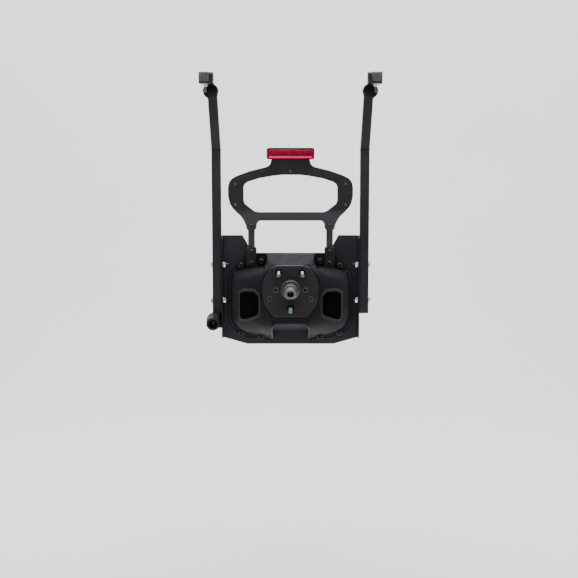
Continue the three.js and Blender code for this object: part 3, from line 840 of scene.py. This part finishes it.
def casting_solid():
    body = dome()
    body.name = "carrier_casting_skin"
    bridge = [(80, -5.3, 98.5), (80, -17, 98.5), (74, -140, 71), (60, -152, 76), (42, -165, 75),
              (80, -5.3, 40), (64, -165, 40)]
    boolean(body, hull([(side * x, y, z) for side, _ in SIDES for x, y, z in bridge]), "UNION")
    shell = dome(grow=3.2)
    rim = rounded(grown(WINDOW, 8, WINDOW_MIDDLE), 8)
    for outline in (rim, flipped(rim)):
        lip = prism("lip", outline, -60, -172, CAST)
        boolean(lip, shell, "INTERSECT", keep=True)
        boolean(body, lip, "UNION")
    arch_rim = rounded(symmetric([(40, -60), (47, -108), (59, -117), (66, -132), (66, -230)]), 9)
    lip = prism("lip", arch_rim, -25, -164.9, CAST)
    boolean(lip, shell, "INTERSECT")
    boolean(body, lip, "UNION")
    pocket = rounded([(82, 60), (82, 120), (150, 120), (150, 53), (116, 53), (88, 56)], 5)
    for outline in (pocket, flipped(pocket)):
        boolean(body, prism("pocket", outline, FLANGE_FRONT, -190, CAST))
    flange = rounded(symmetric(FLANGE), 7)
    boolean(body, prism("flange", flange, FLANGE_BACK, FLANGE_FRONT, CAST), "UNION")
    arch = arch_tool("arch", rounded(ARCH_SLOPE, 8), rounded(symmetric(ARCH_HALF), 8), 80)
    web_slope = [(y, z + WEB_WALL) for y, z in ARCH_SLOPE[:4]] + ARCH_SLOPE[4:]
    web = arch_tool("web", web_slope, symmetric([(x + WEB_WALL, z) for x, z in ARCH_HALF]), 90)
    hollow = [(72, 4, 88), (46, -144, 69), (40, -157, 66), (72, 4, 30), (56, -157, 30)]
    inside = dome(inset=True)
    boolean(inside, hull([(side * x, y, z) for x, y, z in hollow for side, _ in SIDES]), "UNION")
    boolean(inside, web)
    boolean(body, arch)
    boolean(body, inside)
    window = rounded(WINDOW, 5)
    for outline in (window, flipped(window)):
        boolean(body, prism("window", outline, -30, -190, CAST))
    for side, _ in SIDES:
        for _, x, z in CASTING_BOLTS:
            drill(body, 13.2, -90, -19.0, (side * x, 0, z))
            boolean(body, rod("boss", 12.5, -20.0, -15, (side * x, 0, z), "y", CAST), "UNION")
    return body


def casting():
    body = remeshed(casting_solid(), 1.5)
    smooth = body.modifiers.new("smooth", "SMOOTH")
    smooth.factor = 0.5
    smooth.iterations = 4
    settle(body)
    thin = body.modifiers.new("thin", "DECIMATE")
    thin.ratio = 0.37
    settle(body)
    for v in body.data.vertices:
        if v.co.y > (FLANGE_BACK - 1) * MM:
            v.co.y = FLANGE_BACK * MM
    smooth_all(body)
    stands_for(body, "carrier_casting")
    surface = surface_of(body)
    # Fine lines in the lighter coat along the window, flange-foot and arch edges are painted highlights.
    mouth = rounded(grown(WINDOW, 1.4, WINDOW_MIDDLE), 5)
    lip = rounded(grown(WINDOW, 6.6, WINDOW_MIDDLE), 8)
    for side, tag in SIDES:
        for kind, outline, radius in (("mouth", mouth, 0.9), ("lip", lip, 0.6)):
            placed = outline if side > 0 else flipped(outline)
            detail(edge_line(f"window_{kind}_edge_{tag}", placed, surface, radius))
        foot = [(side * x, z) for x, z in rounded(FOOT_LINE, 8)]
        detail(edge_line(f"flange_foot_edge_{tag}", foot, surface, 0.8, False))
    detail(edge_line("arch_edge", ARCH_LINE, surface, 0.9, False))


casting()


# -------- wheel disc, studs, hub
STUDS = [("top_left", 126), ("top_right", 54), ("bottom", 270)]
STUD_CIRCLE = 63.5
DISC_BACK, DISC_FRONT = -165.3, -185
HUB_BACK = DISC_FRONT - 0.3
SIDE_HOLE = (47, -4)
PLUG = (66, -32)


def stud_place(angle):
    a = math.radians(angle)
    return STUD_CIRCLE * math.cos(a), STUD_CIRCLE * math.sin(a)


def wheel_disc():
    half = [(42, 74.5)] + arc(0, 0, 89, 50, -8, 40)
    half += [(87, -27), (84, -44), (76.5, -61), (64, -77), (51, -91)]
    disc = prism("wheel_disc_skin", rounded(symmetric(half), 5), DISC_BACK, DISC_FRONT, DISC)
    for _, angle in STUDS:
        x, z = stud_place(angle)
        drill(disc, 11, -200, -150, (x, 0, z), sides=56)
    for side, _ in SIDES:
        drill(disc, 4.2, -200, -150, (side * SIDE_HOLE[0], 0, SIDE_HOLE[1]))
    finished(disc, 1.8, 4)
    # The side-hole rims and plug rings are in lighter coats: painted highlights.
    rim = [(8.9, -184.4), (8.8, -186.2), (8.4, -186.6), (8.0, -186.5), (4.6, -184.7), (4.2, -184.4)]
    plug = [(8.6, -184.5), (8.4, -185.9), (7.9, -186.2), (6.9, -186.2), (6.4, -185.8), (6.2, -184.5)]
    face = [(6.1, -184.5), (6.0, -185.3), (5.2, -185.55), (0.6, -185.7)]
    rings = []
    for side, _ in SIDES:
        hole, spot = (side * SIDE_HOLE[0], 0, SIDE_HOLE[1]), (side * PLUG[0], 0, PLUG[1])
        rings.append(lathe("rim", rim, COUNTERSINK_HIGHLIGHT, hole, "y", 56, close="ring"))
        rings.append(lathe("plug", plug, PAINTED_HIGHLIGHT, spot, "y", 56, close="ring"))
        rings.append(lathe("plug_face", face, DISC, spot, "y", 56))
    for ring in rings:
        soften(ring, 40)
    stands_for(join_objects("wheel_disc_skin", [disc] + rings), "wheel_disc")
    # A fine line in the lighter coat round the disc's edge is a painted highlight.
    edge = rounded(symmetric([(x * 0.991, z * 0.991) for x, z in half]), 5)
    path = [(x, DISC_FRONT + 0.25, z) for x, z in edge]
    detail(bead("disc_edge", path, 0.55, PAINTED_HIGHLIGHT, ripple=0.0, sides=8))
    path = [(0, DISC_FRONT - 0.1, z) for z in (-74.5, -90)]
    detail(bead("disc_casting_seam", path, 0.8, DISC, closed=False, ripple=0.15))


def studs():
    sides = 36
    collar = [(0.0, 10.6), (0.6, 11.0), (7.0, 11.0), (7.2, 6.4), (35.4, 6.4)]
    rings = [(height, [radius] * sides) for height, radius in collar]
    rings += thread_rings(6.5, 36, 99, 1.5, sides, 0.92, 2.4)
    wall = [(6.8, 0), (10.7, 0), (10.8, 0.4), (10.8, 17.5), (10.4, 17.8), (10.2, 17.5), (10.2, 0.9),
            (6.8, 0.8)]
    for tag, angle in STUDS:
        x, z = stud_place(angle)
        stud = stack(f"wheel_stud_{tag}_skin", rings, THREAD, (x, -150.0, z), FRONT)
        stands_for(soften(stud, 44), f"wheel_stud_{tag}")
        well = lathe(f"stud_well_{tag}", wall, RECESS, (x, -165.5, z), FRONT, 56, close="ring")
        detail(soften(well, 40))


def camera_tube():
    tube = rod("camera_tube_skin", 17.2, -345, HUB_BACK, (0, 0, 0), "y", TUBE, 112)
    drill(tube, 10.5, -350, -215, (0, 0, 0), sides=80)
    boolean(tube, prism("nose", [(-277, -30), (-352, 30), (-400, 30), (-400, -30)], -30, 30, TUBE, "x"))
    finished(tube, 0.7, angle=30, flat=0.5, soft=35)
    # Faces that look down and forward take the dark warm coat: painted shade with a painted warm ground
    # reflection.
    tube.data.materials.append(NOSE_SHADE)
    for face in tube.data.polygons:
        if face.normal.y < -0.4 and face.normal.z < -0.2:
            face.material_index = 1
    stands_for(tube, "camera_tube")


def hub():
    axis = (0, HUB_BACK, 0)
    ring = [(23.4, 0), (30.2, 0), (30.6, 0.5), (30.6, 2.5), (31.0, 3.2), (31.0, 26.6), (30.6, 27.8),
            (29.4, 29.2), (28.2, 29.7), (24.8, 29.7), (23.8, 29.2), (23.4, 28.2)]
    sleeve = [(17.6, 0), (22.9, 0), (23.0, 29.0), (23.0, 33.0), (22.2, 34.0), (22.2, 36.0), (23.0, 37.0),
              (23.0, 74.6), (22.4, 76.0), (21.4, 76.7), (18.6, 76.7), (17.9, 76.2), (17.6, 75.2)]
    for node, profile, material in (("hub_ring", ring, HUB), ("hub_sleeve", sleeve, SLEEVE)):
        piece = lathe(f"{node}_skin", profile, material, axis, FRONT, 96, close="ring")
        stands_for(soften(piece, 40), node)
    camera_tube()
    case = [(10.1, 0), (10.1, 47.5), (9.6, 49.0), (8.8, 50.2), (7.5, 52.0), (7.3, 55.0), (6.6, 55.6),
            (5.4, 55.8), (5.0, 54.4), (3.6, 53.6)]
    module = lathe("camera_module_skin", case, CAMERA, (0, -225, 0), FRONT, 72)
    stands_for(soften(module, 40), "camera_module")
    lens = [(4.9, 0), (4.6, 0.7), (3.8, 1.3), (2.4, 1.75), (0.9, 1.9)]
    detail(soften(lathe("camera_lens_dome", lens, GLASS, (0, -279.0, 0), FRONT, 48), 60))


wheel_disc()
studs()
hub()


# -------- screws, bolts, nuts
LEG_X, LEG_Y = 244.3, -23
LEG_BOLTS = (("upper", 61), ("lower", -58))
SOCKET_BOLTS = (("upper", 107), ("lower", 69))
ARM_X = 129


def flanged_screw(name, spot, axis, across, head, flange_r, material, edge=None):
    """A flanged hexagon head standing on a face at spot, hollowed slightly on top.

    With edge, the flange has that material and the head is blackened round a dark dish.
    """
    full = hexagon(across)
    corner = max(full)
    profile = [(flange_r - 0.3, 0), (flange_r, 0.3), (flange_r, 1.1), (flange_r - 0.9, 1.7)]
    profile.append((corner * 0.8, 2.3))
    flange = lathe("flange", profile, edge or material, spot, axis, HEX_SIDES)
    rings = [(1.2, full), (head - 1.6, full)]
    rings += chamfer_rings(full, head - 1.4, head, corner, across * 0.47)
    for height, share in ((head, 0.38), (head - 0.7, 0.34), (head - 0.8, 0.1)):
        rings.append((height, even(across * share)))
    top = stack("head", rings, BLACK_STEEL if edge else material, spot, axis)
    parts = [soften(flange, 30), soften(top, 30)]
    if edge:
        dish = [(across * 0.33, head - 1.0), (across * 0.33, head - 0.62), (across * 0.1, head - 0.72)]
        parts.append(lathe("dish", dish, RECESS, spot, axis, 48))
    return join_objects(name, parts)


def front_bolt(name, x, y, z, across, head, flange_r, shank_r, length):
    """A dark bolt that goes in from the front; its shank starts half a millimetre below the head."""
    screw = flanged_screw("screw", (x, y, z), FRONT, across, head, flange_r, DARK, BRIGHT_EDGE)
    shank = rod("shank", shank_r, 0, length, (x, y - 0.5, z), "y", DARK)
    both_sides(join_objects(name, [screw, shank]), name)


def leg_bolt(label, z):
    head = flanged_screw("head", (259.6, LEG_Y, z), "x", 17, 6.5, 11, ZINC)
    shank = rod("shank", 5, -32, 1, (259.6, LEG_Y, z), "x", ZINC)
    tip = stack("tip", thread_rings(4.95, 0, 20.0, 1.5, 32, 0.8, 1.2), THREAD, (227.6, LEG_Y, z), "-x")
    both_sides(join_objects(f"leg_bolt_{label}", [head, shank, soften(tip, 44)]), f"leg_bolt_{label}")


def leg_nut(label, z):
    full = hexagon(17)
    corner = max(full)
    rings = [(0.0, even(10.7)), (0.3, even(11.0)), (1.2, even(11.0)), (1.9, even(corner + 0.2)), (2.4, full),
             (7.4, full)]
    rings += chamfer_rings(full, 7.6, 9.0, corner, 8.0)
    rings += [(9.0, even(5.9)), (8.4, even(5.3)), (0.4, even(5.3))]
    nut = stack("nut", rings, ZINC, (224.2, LEG_Y, z), "-x", close="ring")
    both_sides(soften(nut, 30), f"leg_nut_{label}")


for label, x, z in CASTING_BOLTS:
    front_bolt(f"casting_bolt_{label}", x, -20.3, z, 15, 9.0, 9.3, 5, 20.5)
for label, z in SOCKET_BOLTS:
    front_bolt(f"socket_bolt_{label}", ARM_X, -47.3, z, 10, 5.5, 6.2, 3, 22.5)
for label, z in LEG_BOLTS:
    leg_bolt(label, z)
    leg_nut(label, z)


# -------- legs
LEG_SQUARE = rounded([(15, 15), (-15, 15), (-15, -15), (15, -15)], 4, 6)
LEG_INNER = rounded([(12.5, 12.5), (-12.5, 12.5), (-12.5, -12.5), (12.5, -12.5)], 2.6, 6)
MITRE_Z = 440
LEG_TOP_Z = 612
SPLAY, LEAN = 5, -84
COLLAR_X, COLLAR_Z = 255, 628
SEAT_R = 24.3


def square_tube(name, ends, outer, inner):
    """A square tube between two level cuts; ends are the centres of the cuts."""
    bm = bmesh.new()
    rings = []
    for outline in (outer, inner):
        for centre in ends:
            rings.append([bm.verts.new((Vector(centre) + Vector((x, y, 0))) * MM) for x, y in outline])
    for low, high in ((0, 1), (1, 3), (3, 2), (2, 0)):
        walls(bm, rings[low], rings[high])
    return mesh_object(name, bm, LEGS)


def legs():
    lower = square_tube("leg", [(LEG_X, LEG_Y, -101), (LEG_X, LEG_Y, MITRE_Z - 0.3)], LEG_SQUARE, LEG_INNER)
    for _, z in LEG_BOLTS:
        drill(lower, 5.4, -30, 30, (LEG_X, LEG_Y, z), "x")
    both_sides(finished(lower, 0.5, 2, 50), "leg_lower")
    ends = [(LEG_X, LEG_Y, MITRE_Z), (LEG_X + SPLAY, LEG_Y + LEAN, LEG_TOP_Z)]
    upper = square_tube("leg", ends, LEG_SQUARE, LEG_INNER)
    drill(upper, SEAT_R, -260, 20, (COLLAR_X, 0, COLLAR_Z), sides=96)
    both_sides(finished(upper, 0.5, 2, 50), "leg_upper")
    mitre = [(LEG_X + x * 1.005, LEG_Y + y * 1.005, MITRE_Z - 0.1) for x, y in LEG_SQUARE]
    detail_pair(bead("leg_mitre_weld", mitre, 1.7, WELD))
    saddle = []
    for x, y in LEG_SQUARE:
        across = LEG_X + x + SPLAY - COLLAR_X
        z = COLLAR_Z - math.sqrt(max(SEAT_R ** 2 - across ** 2, 1.0))
        t = (z - MITRE_Z) / (LEG_TOP_Z - MITRE_Z)
        saddle.append((LEG_X + x * 1.01 + SPLAY * t, LEG_Y + y * 1.01 + LEAN * t, z - 0.4))
    detail_pair(bead("leg_collar_weld", saddle, 1.7, WELD))


legs()


# -------- roof rack clamps
CLAMP_X, CLAMP_Y = 269, -145
BAR_Y, BAR_Z, BAR_R = -120, 668.9, 13


def cradle():
    tube = [(24, 0), (24, -42), (19.5, -42), (19.5, -4)]
    ring = lathe("collar", tube, LEGS, (COLLAR_X, -84, COLLAR_Z), "y", 112)
    boolean(ring, block("top", (200, -200, 650.5), (320, 0, 700), LEGS))
    both_sides(finished(ring, 0.9, flat=0.4), "leg_collar")
    base = block("cradle", (246, -159, 650.8), (290, -84, 655.9), LEGS)
    fork = [(-144, 650.8), (-96, 650.8), (-96, 680.9), (-100, 685.9), (-107, 685.9)]
    fork += arc(BAR_Y, BAR_Z, BAR_R, 0, -180, 28)
    fork += [(-133, 685.9), (-140, 685.9), (-144, 680.9)]
    boolean(base, prism("fork", fork, 246, 257.7, LEGS, "x"), "UNION")
    drill(base, 4.4, 600, 700, (CLAMP_X, CLAMP_Y, 0), "z")
    both_sides(finished(base, 0.8, flat=0.4), "clamp_cradle")
    foot = [(246.8, -85, 650.7), (289, -85, 650.7)]
    detail_pair(bead("cradle_weld", foot, 1.3, WELD, closed=False))


def saddle():
    outline = [(-160, 656.2), (-133, 656.2)] + arc(BAR_Y, BAR_Z, BAR_R, 180, 0, 28)
    outline += [(-107, 656.2), (-97, 656.2), (-97, 680.9), (-103, 686.9), (-156, 686.9), (-160, 682.9)]
    piece = prism("saddle", outline, 258, 290, SADDLE, "x")
    drill(piece, 4.4, 600, 672.9, (CLAMP_X, CLAMP_Y, 0), "z")
    clean(piece, 0.4)
    bevel(piece, 1.4)
    remeshed(piece, 0.6)
    texture = bpy.data.textures.new("cast_grain", "CLOUDS")
    texture.noise_scale = 2.2 * MM
    grain = piece.modifiers.new("grain", "DISPLACE")
    grain.texture = texture
    grain.texture_coords = "GLOBAL"
    grain.strength = 0.55 * MM
    grain.mid_level = 0.75
    settle(piece)
    smooth_all(piece)
    both_sides(piece, "clamp_saddle")


def clamp_fasteners():
    rings = [(0.0, [3.1] * 32), (0.8, [3.9] * 32)] + thread_rings(4.0, 1.2, 49.2, 1.25, 32, 0.75, 0.4)
    both_sides(soften(stack("stud", rings, THREAD, (CLAMP_X, CLAMP_Y, 623), "z"), 44), "clamp_stud")
    disc = [(4.3, 0.2), (4.5, 0), (11.7, 0), (12, 0.3), (12, 1.7), (11.7, 2), (4.5, 2), (4.3, 1.8)]
    washer = lathe("washer", disc, ZINC, (CLAMP_X, CLAMP_Y, 648.5), "z", HEX_SIDES, close="ring")
    both_sides(soften(washer, 30), "clamp_washer")
    full = hexagon(13)
    rings = [(8.2, even(4.2)), (8.2, even(6.2))] + chamfer_rings(full, 8.1, 7.1, 6.2, max(full))
    rings.append((3.0, full))
    for height, radius in ((2.6, 6.3), (1.2, 6.2), (0.5, 5.9), (0.0, 5.2), (0.0, 4.2)):
        rings.append((height, even(radius)))
    nut = stack("nut", rings, ZINC, (CLAMP_X, CLAMP_Y, 640), "z", close="ring")
    both_sides(soften(nut, 30), "clamp_nut")


cradle()
saddle()
clamp_fasteners()


# -------- brake light bracket
FOOT_Z = 191
HOOP_FRONT = -50
HOOP_SCREWS = [(0, 371), (180.5, 329), (-180.5, 329), (181, 261), (-181, 261)]


def arms():
    outline = [(118, 194), (124, 203), (134, 203), (140, 194), (140, 57), (132.8, 57)]
    outline += arc(ARM_X, 107.5, 3.8, 0, 180, 16) + [(125.2, 57), (118, 57)]
    arm = prism("arm", rounded(outline, 1.2, 3), -34, -40, HOOP)
    drill(arm, 4.3, -90, 0, (ARM_X, 0, FOOT_Z))
    both_sides(finished(arm, 0.6, 2), "light_arm")
    socket = prism("socket", rounded_rect(113, 145, 53, 119, 3), -17.3, -47, LEGS)
    boolean(socket, block("slot", (117.6, -40.4, 56), (140.4, -33.6, 140), LEGS))
    for _, z in SOCKET_BOLTS:
        drill(socket, 3.3, -60, -24, (ARM_X, 0, z))
    both_sides(finished(socket, 1.3), "arm_socket")


def pan_head(name, spot, radius):
    """A small round screw head with a six-lobed recess."""
    lobes = [radius * (0.46 + 0.06 * math.cos(6 * 2 * math.pi * i / HEX_SIDES)) for i in range(HEX_SIDES)]
    steps = [(0.0, 1.0), (0.5, 1.0), (1.2, 0.94), (1.8, 0.8), (2.0, 0.62)]
    rings = [(height, even(radius * part)) for height, part in steps]
    rings += [(2.0, lobes), (0.9, [r * 0.95 for r in lobes])]
    head = soften(stack("head", rings, BRIGHT_EDGE, spot, FRONT), 35)
    bottom = [(radius * 0.5, 0.6), (radius * 0.5, 1.2), (radius * 0.1, 1.1)]
    return join_objects(name, [head, lathe("floor", bottom, RECESS, spot, FRONT, 48)])


def hoop():
    bar = [(63, 409), (65, 397), (70, 389), (80, 384), (133, 371), (176, 355.5), (193, 346), (201, 335),
           (205, 318), (205, 290), (200, 267), (192, 252), (178, 237), (162, 222), (153, 208), (148.5, 196)]
    # Two helper corners close the outline for the rounding, which is then cut back to the bar.
    outer = [bar[0]] + rounded(bar + [(100, 200), (0, 300)], 16, 6)[5:-17]
    outer += arc(ARM_X, FOOT_Z, 17.5, 8, -188, 40) + [(110.5, 199), (107, 205), (103, 208), (98, 209)]
    piece = prism("hoop_frame_skin", symmetric(outer), -40.3, HOOP_FRONT, HOOP)
    opening = [(26, 359), (54, 356.5), (104, 347.5), (140, 336), (150, 329), (154, 318), (154, 275),
               (150, 264), (124, 243), (116, 238.5), (106, 236.5)]
    boolean(piece, prism("opening", rounded(symmetric(opening), 9), 0, -90, HOOP))
    for side, _ in SIDES:
        drill(piece, 4.3, -90, 0, (side * ARM_X, 0, FOOT_Z))
    boolean(piece, block("shelf", (-62, -47, 396), (62, -24, 409), HOOP), "UNION")
    stands_for(finished(piece, 2.0, 4, soft=34), "hoop_frame")
    for i, (x, z) in enumerate(HOOP_SCREWS):
        detail(pan_head(f"hoop_screw_{i}", (x, HOOP_FRONT + 0.2, z), 4.6), "light_bracket")


def foot_bolt():
    spot = (ARM_X, HOOP_FRONT - 0.3, FOOT_Z)
    button = [(7.7, 0), (8.0, 0.4), (8.0, 1.6), (7.6, 2.5), (6.6, 3.3), (5.2, 3.7), (3.4, 3.7), (3.3, 1.7),
              (0.6, 1.4)]
    cap = soften(lathe("cap", button, DARK, spot, FRONT, 64), 35)
    shank = rod("shank", 4, 0, 20.8, (ARM_X, HOOP_FRONT - 0.8, FOOT_Z), "y", DARK)
    socket = lathe("socket", [(3.3, 1.2), (3.3, 1.9), (0.6, 1.7)], RECESS, spot, FRONT, 48)
    both_sides(join_objects("foot_bolt", [cap, shank, socket]), "foot_bolt")


def lamp():
    case = prism("lamp_housing_skin", rounded_rect(-78, 78, 409.6, 446.5, 7, 10), -26, -58, LAMP_CASE)
    boolean(case, prism("recess", rounded_rect(-75.6, 75.6, 410.5, 441.5, 6, 10), -54, -70, LAMP_CASE))
    stands_for(finished(case, 0.8), "lamp_housing")
    lens_front = -64.8
    lens = prism("lens", rounded_rect(-75, 75, 411, 441, 6, 10), -54.4, lens_front, LENS)
    bevel(lens, 2.2, 5)
    parts = [soften(lens, 40)]
    bulge = [(2.1, 0), (2.0, 0.5), (1.6, 0.85), (0.9, 1.1), (0.3, 1.18)]
    for row, z in enumerate((435.4, 430.2, 425.0)):
        for k in range(19):
            material = LENS_DEEP if (row + k) % 2 else LENS
            cell = lathe("cell", bulge, material, (-67.5 + 7.5 * k, lens_front, z), FRONT, 14)
            parts.append(soften(cell, 60))
    stripe = prism("stripe", rounded_rect(-70.5, 70.5, 413.6, 419.8, 2.2, 5), -64.6, -65.6, LENS_BRIGHT)
    bevel(stripe, 0.4, 2)
    parts.append(soften(stripe))
    stands_for(join_objects("lamp_lens_skin", parts), "lamp_lens")


arms()
hoop()
foot_bolt()
lamp()


# -------- tyre stop
STOP_X, STOP_Z = -256, -130


def tyre_stop():
    outline = [(-229.3, -104), (STOP_X, -104)] + arc(STOP_X, STOP_Z, 26, 90, 270, 40) + [(-229.3, -156)]
    tab = prism("tyre_stop_tab_skin", outline, 0, -4, PLATE)
    bevel(tab, 0.8)
    stands_for(soften(tab), "tyre_stop_tab")
    profile = [(0.5, 0), (26.0, 0), (26.5, 0.5), (26.5, 4.2), (26.2, 5.2), (25.2, 8.2), (23.9, 11.5),
               (23.5, 14)]
    profile += [(23.5 - 2.0 * k / 12, 14 + 66 * k / 12) for k in range(1, 13)]
    profile += [(21.3, 81.5), (20.6, 83.1), (19.5, 84), (16.2, 84), (15.2, 83.4), (14.5, 82.2), (14, 80),
                (14, 51), (13, 50), (0.5, 50)]
    bumper = lathe("tyre_stop_bumper_skin", profile, RUBBER, (STOP_X, -4.3, STOP_Z), FRONT, 88)
    stands_for(soften(bumper, 40), "tyre_stop_bumper")
    insert = flanged_screw("tyre_stop_screw", (STOP_X, -54.5, STOP_Z), FRONT, 10, 6, 7.5, DARK)
    detail(insert)


tyre_stop()
